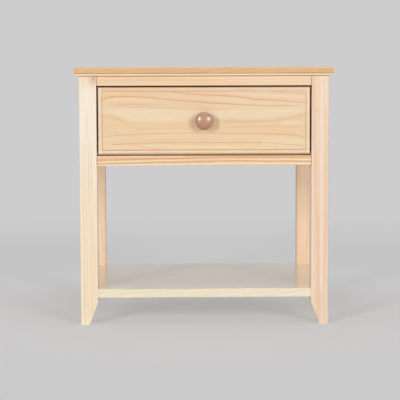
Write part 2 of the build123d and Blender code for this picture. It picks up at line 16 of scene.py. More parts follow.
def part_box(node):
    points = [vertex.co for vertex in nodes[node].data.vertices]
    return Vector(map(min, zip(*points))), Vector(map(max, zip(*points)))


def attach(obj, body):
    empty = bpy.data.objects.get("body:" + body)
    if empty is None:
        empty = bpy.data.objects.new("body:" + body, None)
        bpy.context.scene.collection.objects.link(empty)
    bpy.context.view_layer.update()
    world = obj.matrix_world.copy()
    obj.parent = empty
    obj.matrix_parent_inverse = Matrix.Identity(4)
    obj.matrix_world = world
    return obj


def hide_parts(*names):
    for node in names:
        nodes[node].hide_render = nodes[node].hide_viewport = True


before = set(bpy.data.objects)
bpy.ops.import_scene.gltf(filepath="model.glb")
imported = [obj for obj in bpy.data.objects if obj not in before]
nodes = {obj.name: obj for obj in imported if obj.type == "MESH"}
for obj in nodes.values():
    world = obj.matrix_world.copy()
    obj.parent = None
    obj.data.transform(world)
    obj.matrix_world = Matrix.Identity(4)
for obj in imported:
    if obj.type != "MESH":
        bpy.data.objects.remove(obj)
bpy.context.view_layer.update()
MM = 0.001

# %% [markdown]
# The camera
#
# The photograph was taken from just above the table top and a little to the left, with a long lens. Place,
# turn and focal length were found by matching the corners of the CAD model to the corners in the picture,
# so the render can be laid over it. The focal length is kept in pixels of the square picture and turned
# into millimetres on Blender's 36 mm sensor.

# %% Camera
photo_side = 400
focal_pixels = 1460.1
camera_spot = Vector((-0.06533, -3.37199, 0.56758))
camera_pitch = 0.09186
camera_yaw = -0.01753
camera_roll = -0.00298

camera_data = bpy.data.cameras.new("portrait_camera")
camera_data.sensor_width = 36.0
camera_data.lens = camera_data.sensor_width * focal_pixels / photo_side
camera = bpy.data.objects.new("portrait_camera", camera_data)
camera.matrix_world = (
    Matrix.Translation(camera_spot)
    @ Matrix.Rotation(camera_yaw, 4, "Z")
    @ Matrix.Rotation(pi / 2 - camera_pitch, 4, "X")
    @ Matrix.Rotation(camera_roll, 4, "Z")
)
scene = bpy.context.scene
scene.collection.objects.link(camera)
scene.camera = camera
scene.view_settings.view_transform = "Standard"
print(f"camera lens {camera_data.lens:.1f} mm")

# %% [markdown]
# Writing node trees as expressions
#
# A finish is a node tree, but wood is easier to think about as arithmetic: a distance, a ring number, a
# mask. So one small class wraps a socket, and adding or multiplying two wrapped sockets adds the Math node
# that does it. Everything that isn't arithmetic goes through a single method, which takes the node's type,
# the values or links of its sockets, and its settings. A socket is named by its identifier, which stays
# unique even on a node that has several sockets of the same name. The same two classes also write the tree
# of the screws.

# %% Node helper


class Wire:
    """A value inside a node tree; arithmetic on wires adds Math nodes."""

    def __init__(self, writer, socket):
        self.writer = writer
        self.socket = socket

    def math(self, operation, *others):
        return self.writer.math(operation, self, *others)

    def __add__(self, other):
        return self.math("ADD", other)

    def __sub__(self, other):
        return self.math("SUBTRACT", other)

    def __mul__(self, other):
        return self.math("MULTIPLY", other)

    def __truediv__(self, other):
        return self.math("DIVIDE", other)

    def __pow__(self, other):
        return self.math("POWER", other)

    def __rsub__(self, other):
        return self.writer.math("SUBTRACT", other, self)

    def __rtruediv__(self, other):
        return self.writer.math("DIVIDE", other, self)

    def between(self, low, high):
        """0 below low, 1 above high and a smooth step from one to the other."""
        sockets = {"Value": self, "From Min": low, "From Max": high}
        return self.writer.add("ShaderNodeMapRange", sockets, interpolation_type="SMOOTHSTEP")

    def swing(self, change, middle=1.0):
        """Turn noise about 0.5 into a value that changes about a middle one."""
        return self * change + (middle - change / 2)


class NodeWriter:
    """Adds nodes to a tree by calls."""

    def __init__(self, tree):
        self.tree = tree

    def add(self, kind, sockets=(), out=0, **settings):
        """Add any node, with the values or links of its sockets and its settings."""
        node = self.tree.nodes.new(kind)
        for key, value in settings.items():
            if key == "stops":
                self.set_curve(node.mapping, value)
            else:
                setattr(node, key, value)
        for key, value in dict(sockets).items():
            self.plug(self.socket(node.inputs, key), value)
        return Wire(self, self.socket(node.outputs, out))

    def math(self, operation, *values):
        return self.add("ShaderNodeMath", enumerate(values), operation=operation)

    def set_curve(self, mapping, stops):
        points = mapping.curves[0].points
        for stop in stops[1:-1]:
            points.new(*stop)
        points[0].location = stops[0]
        points[len(stops) - 1].location = stops[-1]
        for point in points:
            point.handle_type = "AUTO_CLAMPED"
        mapping.update()

    def socket(self, sockets, key):
        if isinstance(key, int):
            return sockets[key]
        return next(s for s in sockets if key in (s.identifier, s.name))

    def plug(self, socket, value):
        for item in value if isinstance(value, list) else [value]:
            if isinstance(item, Wire):
                self.tree.links.new(item.socket, socket)
            else:
                socket.default_value = item


print("node helper ready")

# %% [markdown]
# Finishes
#
# A finish is a material with one Principled shader at its end. It takes its coordinates from the piece
# itself, in millimetres of the frame, so a pattern has real sizes and stays with its board when the drawer
# moves. A picture could be wrapped round each board instead, but then its faces and edges wouldn't fit
# together.

# %% Finish helper


class Finish(NodeWriter):
    """A material whose nodes are added by calls, with one Principled shader at its end."""

    def __init__(self, name):
        self.material = bpy.data.materials.new(name)
        self.material.use_nodes = True
        super().__init__(self.material.node_tree)
        self.shader = self.tree.nodes["Principled BSDF"]

    def close(self, **values):
        """Set the shader's sockets, with underscores for the spaces in their names."""
        for key, value in values.items():
            self.plug(self.shader.inputs[key.replace("_", " ")], value)
        return self.material

    def place(self):
        """The point on the piece, in millimetres of the frame, as three wires."""
        spot = self.add("ShaderNodeTexCoord", out="Object")
        scaled = self.add("ShaderNodeVectorMath", {"Vector": spot, "Scale": 1 / MM}, operation="SCALE")
        axes = self.add("ShaderNodeSeparateXYZ", {"Vector": scaled}).socket.node.outputs
        return [Wire(self, axis) for axis in axes]

    def noise(self, x, y, z, detail=2.0, roughness=0.5):
        """Smooth noise, about 0.2 to 0.8, of a point whose coordinates are already in wavelengths."""
        point = self.add("ShaderNodeCombineXYZ", {"X": x, "Y": y, "Z": z})
        sockets = {"Vector": point, "Scale": 1.0, "Detail": detail, "Roughness": roughness}
        return self.add("ShaderNodeTexNoise", sockets)

    def dice(self, number):
        """A random value from 0 to 1 for each whole number."""
        return self.add("ShaderNodeTexWhiteNoise", {"W": number}, noise_dimensions="1D")

    def mix(self, share, first, second):
        sockets = {"Factor_Float": share, "A_Color": first, "B_Color": second}
        return self.add("ShaderNodeMix", sockets, out="Result_Color", data_type="RGBA")

    def shade(self, colour, amount):
        """A colour times a grey value."""
        return self.add("ShaderNodeVectorMath", {"Vector": colour, "Scale": amount}, operation="SCALE")

    def bump(self, height, strength, distance):
        sockets = {"Height": height, "Strength": strength, "Distance": distance * MM}
        return self.add("ShaderNodeBump", sockets)


def tint(red, green, blue):
    """A colour as it looks on screen, 0 to 255, as the linear colour that Blender's shaders take."""
    parts = [value / 255 for value in (red, green, blue)]
    linear = [p / 12.92 if p <= 0.04045 else ((p + 0.055) / 1.055) ** 2.4 for p in parts]
    return (*linear, 1.0)


def paint(material, piece):
    """Give a CAD node a finish."""
    for slot in nodes[piece].material_slots:
        slot.material = material


print("finish helper ready")

# %% [markdown]
# The studio
#
# The piece stands on a pale floor that has no edge in sight: the floor's colour fades into the background
# with the distance. The world gives a soft even light, and what the camera and the reflections see of it is
# a plain pale grey. Light Path tells the two apart, so the background doesn't have to be bright enough to
# light the room. Half of the floor near the piece is that same grey too, which keeps it pale without more
# light and leaves a soft shadow.

# %% Floor and background
floor_radius = 9.0
fade_start, fade_end = 0.4, 2.4
near_glow = 0.5
paper_grain, paper_change = 4.0, 0.04
floor_shade = (0.92, 0.92, 0.92, 1)
background_shade = (0.615, 0.608, 0.618, 1)
room_light = 0.12

floor_mesh = bpy.data.meshes.new("floor")
ring = bmesh.new()
bmesh.ops.create_circle(ring, cap_ends=True, radius=floor_radius, segments=64)
ring.to_mesh(floor_mesh)
ring.free()
floor = bpy.data.objects.new("floor", floor_mesh)
scene.collection.objects.link(floor)


def seen_directly(writer):
    """A value that is 1 for camera, mirror and see-through rays and 0 for the light that falls on things."""
    rays = writer.add("ShaderNodeLightPath").socket.node.outputs
    seen = Wire(writer, rays["Is Camera Ray"])
    for name in ("Is Glossy Ray", "Is Transmission Ray"):
        seen = seen.math("MAXIMUM", Wire(writer, rays[name]))
    return seen


def blend(writer, share, first, second, output):
    """Mix two shaders and make the result the surface."""
    mixed = writer.add("ShaderNodeMixShader", {"Fac": share, 1: first, 2: second})
    writer.plug(writer.tree.nodes[output].inputs["Surface"], mixed)


paper = Finish("floor_paper")
x, y, z = paper.place()
far = ((x * x + y * y) ** 0.5).between(fade_start / MM, fade_end / MM)
glow_share = (far * (1 - near_glow) + near_glow) * seen_directly(paper)
grain = paper.noise(x / paper_grain, y / paper_grain, z / paper_grain, detail=3.0)
paper_shade = paper.mix(far, floor_shade, background_shade)
paper.close(
    Base_Color=paper.shade(paper_shade, grain.swing(paper_change)),
    Roughness=0.9,
    Specular_IOR_Level=0.1,
)
glow = paper.add("ShaderNodeEmission", {"Color": background_shade})
blend(paper, glow_share, Wire(paper, paper.shader.outputs["BSDF"]), glow, "Material Output")
floor_mesh.materials.append(paper.material)

scene.world = bpy.data.worlds.new("studio")
scene.world.use_nodes = True
room = NodeWriter(scene.world.node_tree)
even = room.tree.nodes["Background"]
room.plug(even.inputs["Color"], (1, 1, 1, 1))
room.plug(even.inputs["Strength"], room_light)
backdrop = room.add("ShaderNodeBackground", {"Color": background_shade, "Strength": 1.0})
blend(room, seen_directly(room), Wire(room, even.outputs[0]), backdrop, "World Output")
print(f"floor of {floor_radius} m and a room light of {room_light}")

# %% [markdown]
# Two softboxes
#
# The photograph tells where the lamps stood. The knob has a small bright highlight at its upper left, a
# broad dim one at its upper right and a short shadow on each side. The light fades on the rear legs where
# the case starts to cover them, but further down they are as bright as the front. Together these give two
# softboxes, several metres away, thirty degrees to each side and thirteen degrees up, the left one narrow
# and the right one wide. A third lamp hangs overhead for the top. A fourth gives what a pale wall behind
# the piece would send back, and is kept out of the reflections, because a wall has no bright edges.
#
# The shelf is polished enough to mirror a softbox towards somebody behind the piece, where it would burn
# out to white. A photographer puts a polarising sheet on the lamp to take such a mirror image away. Here
# light linking does it: each softbox leaves the shelf out, and a twin in the same place, which reflections
# can't see, lights the shelf alone.

# %% Lamps
lamp_target = Vector((0, -0.20, 0.42))
softboxes = {  # place, width and height in metres, and power in watts
    "softbox_left": ((-2.82, -4.42, 1.59), 0.82, 1.46, 108),
    "softbox_right": ((2.52, -4.54, 1.62), 1.84, 1.60, 104),
}


def softbox(name, spot, width, height, power):
    """An area lamp that looks at the middle of the drawer."""
    light = bpy.data.lights.new(name, "AREA")
    light.shape = "RECTANGLE"
    light.size = width
    light.size_y = height
    light.energy = power
    lamp = bpy.data.objects.new(name, light)
    lamp.location = spot
    lamp.rotation_euler = (lamp_target - Vector(spot)).to_track_quat("-Z", "Y").to_euler()
    lamp.visible_camera = False
    scene.collection.objects.link(lamp)
    return lamp


def limit_reach(lamp, state):
    """Let a lamp light the shelf alone (INCLUDE) or everything but the shelf (EXCLUDE)."""
    reach = bpy.data.collections.new(f"{lamp.name}_reach")
    reach.objects.link(nodes["shelf"])
    reach.collection_objects[0].light_linking.link_state = state
    lamp.light_linking.receiver_collection = reach


for name, setup in softboxes.items():
    limit_reach(softbox(name, *setup), "EXCLUDE")
    twin = softbox(f"{name}_polarised", *setup)
    twin.visible_glossy = False
    limit_reach(twin, "INCLUDE")
softbox("softbox_top", (0.0, -0.3, 2.6), 1.60, 1.60, 15)
softbox("wall_bounce", (0.0, 2.8, 1.3), 2.60, 1.60, 24).visible_glossy = False
print(f"{len(bpy.data.lights)} lamps")

# %% [markdown]
# Streaks
#
# Where the photograph shows a streak of its own, it is listed here. It could be drawn on a picture, but then
# it would sit on one face only. So a streak follows a few points in millimetres through a Float Curve, soft
# on one side and sharp on the other, as late wood is, and goes right through the board. Fine lines come and
# go along their length more than broad ones.

# %% Streaks
fine_line = 4.0
fine_change, broad_change = 1.5, 0.7


# A streak can also be a line of painted light or painted shade; such lines are marked where they are listed
def streak(points, soft, hard, share, shade, axis=None, fade=12.0):
    """A streak through (along, across) points; a negative soft width puts the soft side below."""
    change = fine_change if abs(soft) < fine_line else broad_change
    return points, soft, hard, share, change, tint(*shade), axis, fade


def lay_streak(f, along, across, points, soft, hard, fade):
    """The mask of a streak: 1 on its path, 0 away from it and beyond its ends."""
    (start, _), (end, _) = points[0], points[-1]
    low = min(v for _, v in points)
    reach = max(max(v for _, v in points) - low, 1.0)
    stops = [((u - start) / (end - start), (v - low) / reach) for u, v in points]
    travel = (along - start) / (end - start)
    path = f.add("ShaderNodeFloatCurve", {"Value": travel}, stops=stops) * reach + low
    off = across - path if soft > 0 else path - across
    body = off.between(-hard, 0) * (1 - off.between(0, abs(soft)))
    return body * along.between(start, start + fade) * (1 - along.between(end - fade, end))


print(f"streaks under {fine_line} mm count as fine lines")

# %% [markdown]
# Lines of the joinery, painted shade and painted light
#
# Where two boards meet there is a fine dark joint line. Where a leg or the upper rail meets the top, that
# line is also painted shade, for the shade under the top's moulding. The faces of the drawer's opening get
# painted shade, darker than the fronts, for the shade in the gap. The quirk that frames the field of the
# drawer front gets a line of painted shade, and the end borders beside it get painted light. The shapes are
# all in the CAD model, and each could be given a finish of its own. But a board keeps one finish here, and
# these marks lie at known places, so distances within the finish are enough.

# %% Joinery lines, painted shade and painted light
# Half widths of the lines, with full colour up to the first and none from the second
# Dark joint lines, which are also painted shade where the legs and the upper rail meet the top
joint_and_shade_width, joint_and_shade_share, joint_and_shade_colour = (0.7, 1.5), 0.75, tint(128, 88, 58)
# Painted shade on the faces of the drawer's opening, for the shade in the gap
gap_shade_width, gap_shade_share, gap_shade_colour = (0.15, 0.4), 0.65, tint(112, 76, 48)
# Painted shade in the quirk of the drawer front
groove_shade_width, groove_shade_share, groove_shade_colour = (0.5, 0.9), 0.5, tint(170, 120, 80)
# The painted shade in the quirk is weaker along the top of the field, and the borders beside it get painted
# light
quirk_top, top_shade_loss = (40, 60), 0.5
# Painted light on the end borders of the drawer front, for the light their rounded edges catch
border_light_edge, border_light_share, border_light_colour = (0.0, 1.5), 0.5, tint(247, 222, 194)


def frame_distance(point, half_width, middle, half_height):
    """How far a point lies outside an upright rectangle; 0 is on its outline."""
    beside = point["X"].math("ABSOLUTE") - half_width
    return beside.math("MAXIMUM", (point["Z"] - middle).math("ABSOLUTE") - half_height)


def lay_joinery(f, colour, point, joints, opening, quirk):
    """Draw joint lines, painted shade under the top and in the opening and quirk, and painted light on the
    end borders.
    """
    # Dark joint lines; at the top of the legs and the upper rail they are also painted shade under the top
    for axis, spot in joints:
        gap = (point[axis].math("ABSOLUTE") - spot).math("ABSOLUTE")
        colour = f.mix((1 - gap.between(*joint_and_shade_width)) * joint_and_shade_share, colour, joint_and_shade_colour)
    # Painted shade on the faces of the drawer's opening
    if opening:
        edge = frame_distance(point, *opening).math("ABSOLUTE")
        colour = f.mix((1 - edge.between(*gap_shade_width)) * gap_shade_share, colour, gap_shade_colour)
    if quirk:
        half_width, middle, _ = quirk
        # Painted light on the end borders outside the quirk
        border = (point["X"].math("ABSOLUTE") - half_width).between(*border_light_edge)
        colour = f.mix(border * border_light_share, colour, border_light_colour)
        # Painted shade in the quirk, weaker along the top of the field
        edge = frame_distance(point, *quirk).math("ABSOLUTE")
        strength = (1 - (point["Z"] - middle).between(*quirk_top) * top_shade_loss) * groove_shade_share
        colour = f.mix((1 - edge.between(*groove_shade_width)) * strength, colour, groove_shade_colour)
    return colour


print("lines of the joinery ready")

# %% [markdown]
# Pine
#
# A board is a slice of a tree, so its pattern isn't drawn on its faces: it is the tree's rings, cut by the
# saw. The finish keeps the place of the heart of the tree relative to each board and measures how far a
# point is from it. That distance, divided by the ring width, gives the ring number. Within a ring the wood
# is pale at first and darkens towards a sharp outer edge. Faces, edges and end grain then fit together by
# themselves. Slow noise along the length bends the rings, and fine stretched noise gives the fibres. A knot
# pushes the rings aside and has an eye of its own. A heart that leans against the face lets the rings run
# out in pointed arches.

# %% Measures of the wood
# Wavelengths of the noise along the grain and across it, in millimetres
bend_waves = (260, 90)
cross_waves = (210, 70)
patch_waves = (150, 26)
fibre_waves = (45, 1.1)
tone_waves = (420, 34)
vein_waves = (120, 3.6)
waver_waves = (38, 30)
# How far the staves of a panel differ: their hearts, and the lengths of tree they were cut from
heart_spread = (160, 30)
stave_shift = 900
# The widths of the rings drift, some rings are weak, and late wood rises steeply and ends at once
ring_drift, drift_waves = 1.6, (22, 900)
weakest_ring = 0.25
late_rise, late_end = 3.2, 0.90
# Reach of a knot's push along and across the grain, and the length of its eye, in knot sizes
knot_reach = (2.6, 1.6)
eye_length = 1.5
# How much the layers change the colour, the gloss and the relief
stave_change, tone_change, patch_change = 0.7, 1.5, 0.9
vein_share, vein_edge, vein_shading = 0.7, (0.52, 0.85), 0.2
fibre_shading, fibre_gloss, late_gloss = 0.16, 0.18, 0.06
fibre_relief, late_relief = 0.6, 0.8
print(f"fibres {fibre_waves[1]} mm wide, late wood ending at {late_end:.0%} of a ring")

# %% Pine finish


def pine(
    piece, axes, heart, pale, warm, late, ring, wander, contrast, seed, name=None, lean=(0.0, 0.0), arch=0.0,
    waver_size=1.6, staves=None, streaks=(), knots=(), joints=(), opening=None, quirk=None, specular=0.5,
    coat=0.6, coat_roughness=0.45, roughness=0.45,
):
    """Saw a piece from pine; axes names the board's length, width and thickness."""
    f = Finish(name or f"{piece}_pine")
    pale, warm, late = (tint(*shade) for shade in (pale, warm, late))
    point = dict(zip("XYZ", f.place()))
    length, across, through = (point[axis] for axis in axes)
    along = length
    salt = seed * 17.3

    # Glued-up panels: each stave comes from another part of the tree
    stave_tone = 0.5
    heart_across, heart_through = heart
    if staves:
        first_edge, stave_width = staves
        stave = ((across - first_edge) / stave_width).math("FLOOR") + salt
        stave_tone = f.dice(stave)
        heart_across = f.dice(stave + 0.37).swing(heart_spread[0], heart[0])
        heart_through = f.dice(stave + 0.71).swing(heart_spread[1], heart[1])
        along = along + f.dice(stave + 0.13) * stave_shift

    def grain(waves, at=along, detail=2.0, fine=0.5):
        """Noise that is stretched along the grain."""
        return f.noise(at / waves[0] + salt, across / waves[1], through / waves[1], detail, fine)

    # Distance from the heart, with the slow waves of a grown stem
    wave = grain(bend_waves, detail=1.0) - 0.5
    long, wide = cross_waves
    cross_wave = f.noise(along / long - salt, across / wide + 5.0, through / wide, detail=1.0) - 0.5
    side = across - heart_across - along * lean[0] + wave * (2 * wander)
    depth = through - heart_through - along * lean[1] + along * along * arch + cross_wave * (2 * wander)
    for u, v, size, push, _, _ in knots:
        near = ((along - u) / (size * knot_reach[0])) ** 2 + ((across - v) / (size * knot_reach[1])) ** 2
        side = side + push / (near + 1)
    radius = (side * side + depth * depth) ** 0.5

    # Ring number, and the place within the ring
    drift = f.noise(radius / drift_waves[0] + salt, along / drift_waves[1], 0.0, detail=1.0)
    count = radius / ring + drift * ring_drift
    inside = count.math("FRACT")
    band = inside**late_rise * (1 - inside.between(late_end, 1.0))
    strength = f.dice(count.math("FLOOR") + salt) * (1 - weakest_ring) + weakest_ring
    patch = grain(patch_waves)
    lines = band * strength * patch.swing(patch_change, patch_change) * contrast

    # Fibres and slow changes of tone
    fibre = grain(fibre_waves, detail=3.0, fine=0.6)
    vein = grain(vein_waves)
    tone = grain(tone_waves).swing(tone_change, 0.5) + (stave_tone - 0.5) * stave_change
    colour = f.mix(lines, f.mix(tone.between(0.15, 0.85), pale, warm), late)
    colour = f.mix(vein.between(*vein_edge) * contrast * vein_share, colour, late)
    colour = f.shade(colour, vein.swing(vein_shading))

    # What is listed, one by one: streaks, knots and the joinery lines with their painted shade and light
    waver = (grain(waver_waves, at=length, detail=1.0) - 0.5) * waver_size
    for points, soft, hard, share, change, shade, axis, fade in streaks:
        mask = lay_streak(f, length, (point[axis] if axis else across) + waver, points, soft, hard, fade)
        colour = f.mix(mask * patch.swing(change) * share, colour, shade)
    for u, v, size, _, share, shade in knots:
        eye = ((length - u) / (size * eye_length)) ** 2 + ((across + waver - v) / size) ** 2
        colour = f.mix((1 - eye.between(0.0, 1.0)) * share, colour, tint(*shade))
    colour = lay_joinery(f, colour, point, joints, opening, quirk)

    f.close(
        Base_Color=f.shade(colour, fibre.swing(fibre_shading)),
        Roughness=fibre.swing(fibre_gloss, roughness) - lines * late_gloss,
        Normal=f.bump(fibre * fibre_relief + lines * late_relief, 0.12, 0.25),
        Specular_IOR_Level=specular,
        Coat_Weight=coat,
        Coat_Roughness=coat_roughness,
    )
    paint(f.material, piece)


print("pine ready")

# %% [markdown]
# The drawer front
#
# This is the board that everybody looks at. It is flat-sawn, so the rings run out over its face in long
# flat arches: the heart lies behind the middle of the board, and bends away from the face towards both
# ends. The middle is pale, with a tan tongue from the left and a rising band on the right, and pink streaks
# cross the upper half. These are the photograph's own, so they are laid in one by one, broad tones first.

# %% Lines of the drawer front
salmon = (237, 180, 136)
rust = (205, 150, 104)
ochre = (216, 178, 128)
tan = (235, 198, 153)
straw = (239, 217, 177)
border_width = 9.0
front_low, front_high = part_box("drawer_front")
# The quirk's frame: the finish paints shade in the quirk and light on the end borders outside it
quirk_frame = (
    front_high[0] / MM - border_width,
    (front_low[2] + front_high[2]) / 2 / MM,
    (front_high[2] - front_low[2]) / 2 / MM - border_width,
)
upper_line = [
    (-236, 490), (-222, 493.2), (-203, 499.3), (-192, 500.3), (-132, 499.1), (-92, 495), (-38, 490.5),
    (26, 485.7), (78, 482.1), (124, 480.4), (185, 480), (240, 480.5),
]
second_line = [
    (-75, 510), (-45, 507.6), (-14, 504.4), (47, 501.2), (78, 498.4), (114, 493.6), (157, 491.4),
    (190, 488.2), (226, 486),
]
tongue_line = [(-238, 462), (-222, 461), (-201, 458), (-185, 453.5), (-172, 448), (-162, 443)]
rising_line = [(34, 448), (95, 448), (135, 448.5), (159, 450.7), (182, 454), (201, 457.6), (224, 465)]
low_arch = [
    (-236, 409), (-223, 411.4), (-178, 417), (-123, 419.5), (-46, 421.2), (73, 419.6), (135, 418.9),
    (190, 416.1), (206, 414), (226, 408),
]
lowest_arch = [(-206, 396), (-162, 398.3), (-108, 400.1), (135, 399.5), (166, 397), (226, 392)]
falling_line = [(-160, 397.5), (-148, 396), (-130, 390.3), (-113, 387), (-88, 384.4)]
small_arch = [(76, 384.2), (94, 386.9), (110, 390.2), (128, 391.8), (146, 390.4), (166, 387.6)]
print("lines of the drawer front drawn")

# %% Drawer front
front_streaks = [
    # Broad tones
    streak([(-260, 482), (-100, 481), (60, 476), (260, 478)], 300, 12, 0.55, (236, 200, 160)),
    streak([(-300, 482), (-100, 481), (60, 480)], 300, 12, 0.5, (235, 197, 156), fade=60),
    streak(tongue_line + [(-115, 441.5), (-30, 443)] + rising_line + [(240, 472)], -300, 11, 0.75, tan),
    streak([(160, 442), (190, 442.6), (226, 443)], 8, 8, 0.5, (240, 220, 190), fade=20),
    streak([(120, 402), (170, 404), (240, 400)], 10, 16, 0.6, straw),
    # Pale streaks
    streak([(-140, 395), (-90, 394), (-30, 392), (60, 390)], 4, 4, 0.6, straw),
    streak([(60, 507), (140, 503), (226, 497)], 3.5, 3.5, 0.6, straw),
    streak([(-222, 489), (-205, 493), (-170, 494.2), (-108, 491.5)], 3, 4, 0.7, straw, fade=14),
    streak([(-8, 495), (39, 494.4), (80, 492.4)], 3, 3, 0.6, straw, fade=16),
    streak([(-220, 396), (-194, 393.6), (-154, 390)], 3, 3, 0.5, straw, fade=14),
    # The pink and rusty lines of the upper half
    streak([(-92, 495), (-38, 490.5), (26, 485.7), (78, 482.1), (124, 480.4)], 6, 1, 0.45, salmon),
    streak(upper_line[:6], 8, 1.2, 0.65, salmon, fade=20),
    streak(upper_line[:4], 1.9, 1, 0.7, rust, fade=6),
    streak(upper_line, 1.9, 1, 0.9, rust, fade=70),
    streak(second_line[1:], 10, 1, 0.48, salmon),
    streak(second_line, 2, 1, 0.72, rust),
    streak([(-230, 513), (-128, 512.8)], 6, 1.5, 0.55, salmon),
    streak([(44, 512.6), (118, 512.4)], 8, 1, 0.6, (238, 186, 146), fade=24),
    streak([(160, 509.3), (190, 507.3), (226, 504)], 4, 1, 0.4, salmon),
    streak([(146, 510.4), (184, 507.7), (226, 504)], 1.4, 0.9, 0.6, rust, fade=16),
    streak([(-208, 483.4), (-150, 483.6), (-118, 482.7)], 5, 1, 0.65, salmon, fade=24),
    streak([(-212, 483.4), (-131, 483.6), (-66, 481.7)], 1.4, 0.9, 0.45, rust, fade=40),
    # The tongue, the rising band and the lines between them
    streak([(-206, 479.2), (-131, 477.8), (-84, 474.6), (-5, 473.4), (62, 472.5)], 3, 1, 0.5, ochre),
    streak(tongue_line, -9, 1, 0.4, ochre),
    streak([(-218, 435.8), (-194, 437.2), (-166, 439.8)], 2, 0.9, 0.4, ochre),
    streak(rising_line, -8, 1, 0.45, ochre),
    streak([(40, 433.3), (135, 434), (228, 433.4)], 4, 1, 0.5, ochre),
    streak([(-155, 430.9), (-116, 430), (-46, 431.3)], 2, 0.8, 0.45, ochre),
    streak([(-58, 429.5), (-22, 430.2)], 3, 3, 0.5, (232, 190, 140)),
    streak([(118, 430.9), (146, 428.2), (172, 423.6)], 2, 0.9, 0.45, (232, 190, 146)),
    streak([(-176, 406.7), (-102, 406), (30, 406.3)], 1.8, 0.9, 0.3, ochre, fade=40),
    streak([(-224, 423.7), (-179, 422.5)], 2, 0.8, 0.5, ochre),
    streak([(-134, 423.8), (-46, 424.3), (4, 424.9)], 2.2, 1.5, 0.5, (247, 218, 182)),
    # The two low arches, and the lower border
    streak(low_arch, 2, 1, 0.7, rust),
    streak(lowest_arch, 2, 1, 0.6, rust),
    streak([(-245, 391), (245, 391)], 5, 5, 0.45, (243, 215, 177)),
    # Painted light: the lower border, for the light its rounded edge catches from below
    streak([(-245, 381.5), (245, 381.5)], 4, 3.5, 0.7, (249, 222, 184)),
    streak(falling_line, 3.5, 1, 0.6, (230, 184, 136)),
    streak([(-118, 379.3), (-90, 379)], 4, 4, 0.5, (238, 184, 138)),
    streak([(106, 380), (172, 379.8)], 3, 3, 0.45, (240, 196, 152), fade=20),
    streak([(98, 387.6), (130, 388.2), (160, 387.4)], 3, 3, 0.45, (246, 212, 158)),
    streak(small_arch, 1.6, 0.9, 0.55, ochre),
]
pine(
    "drawer_front", "XZY", heart=(451, -150), arch=0.0004, pale=(238, 219, 187),
    warm=(237, 213, 178), late=(222, 178, 132), ring=6.8, wander=4.0, contrast=0.35, seed=1,
    streaks=front_streaks, quirk=quirk_frame,
)
print(f"drawer front sawn, with {len(front_streaks)} streaks")

# %% [markdown]
# The left front leg
#
# Every board gets its own heart, its own seed and its own colours, as in a workshop where no two pieces
# come from the same plank. This leg has almost white sapwood along its front, and a small knot near its
# top. A knot could be a piece of its own, but in a planed leg it is only a place where the rings part, so
# it belongs to the finish.

# %% Left front leg
cream = (247, 228, 196)
# The top of the legs, where the dark joint line is also painted shade under the top
leg_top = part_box("leg_front_left")[1][2] / MM
opening_low, opening_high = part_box("lower_front_rail")[1][2] / MM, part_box("upper_front_rail")[0][2] / MM
# The drawer's opening, whose faces get painted shade
drawer_opening = (
    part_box("lower_front_rail")[1][0] / MM,
    (opening_low + opening_high) / 2,
    (opening_high - opening_low) / 2,
)
sapwood_depth = 14
sapwood_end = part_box("leg_front_left")[0][1] / MM + sapwood_depth
left_streaks = [
    streak([(-200, sapwood_end), (800, sapwood_end)], 400, 12, 0.7, (243, 217, 182), axis="Y"),
    streak([(-30, -263.6), (96, -263.2)], 2.6, 1.6, 0.4, (240, 190, 140), fade=24),
    streak([(500, -253), (600, -253)], 60, 60, 0.5, (240, 205, 172), fade=45),
    streak([(518, -244), (526, -246), (534, -249), (545, -253)], 6, 3, 0.35, (226, 192, 156), fade=8),
    streak([(516, -239), (530, -239.6), (548, -239)], 1.6, 1.6, 0.5, (222, 168, 122), fade=8),
    streak([(-200, -253), (420, -253)], 60, 60, 0.72, (245, 220, 185), fade=180),
    streak([(-40, -268), (420, -268)], 6, 8, 0.4, cream, fade=80),
    streak([(-20, -264), (176, -263.5), (272, -264.9), (430, -264)], 1.7, 1.3, 0.5, ochre, fade=40),
    streak([(-20, -256), (152, -257.7), (284, -258.8), (480, -259)], 1.7, 1.3, 0.42, ochre, fade=60),
    streak(
        [(-20, -247.5), (103, -248), (199, -248.8), (284, -252.2), (500, -254)],
        1.7, 1.3, 0.5, ochre, fade=60,
    ),
    streak(
        [(20, -241.6), (127, -241.7), (199, -242.8), (284, -246.2), (420, -247)],
        1.7, 1.3, 0.48, ochre, fade=40,
    ),
]
pine(
    "leg_front_left", "ZXY", heart=(-330, -160), pale=(247, 236, 221),
    warm=(246, 232, 210), late=(230, 206, 172), ring=6.3, lean=(-0.02, 0.0), wander=4.0,
    contrast=0.45, seed=2, streaks=left_streaks,
    knots=[
        (540, -242, 11.0, -10.0, 0.75, (230, 190, 152)),
        (541, -240, 5.5, 0.0, 0.7, (206, 156, 124)),
    ],
    joints=[("Z", leg_top)], opening=drawer_opening,
)
print(f"left front leg sawn, with {len(left_streaks)} streaks")

# %% [markdown]
# The right front leg
#
# The other leg is pinker, with a pale stripe and one tiny knot. It could mirror the first one, but then the
# pair would look printed.

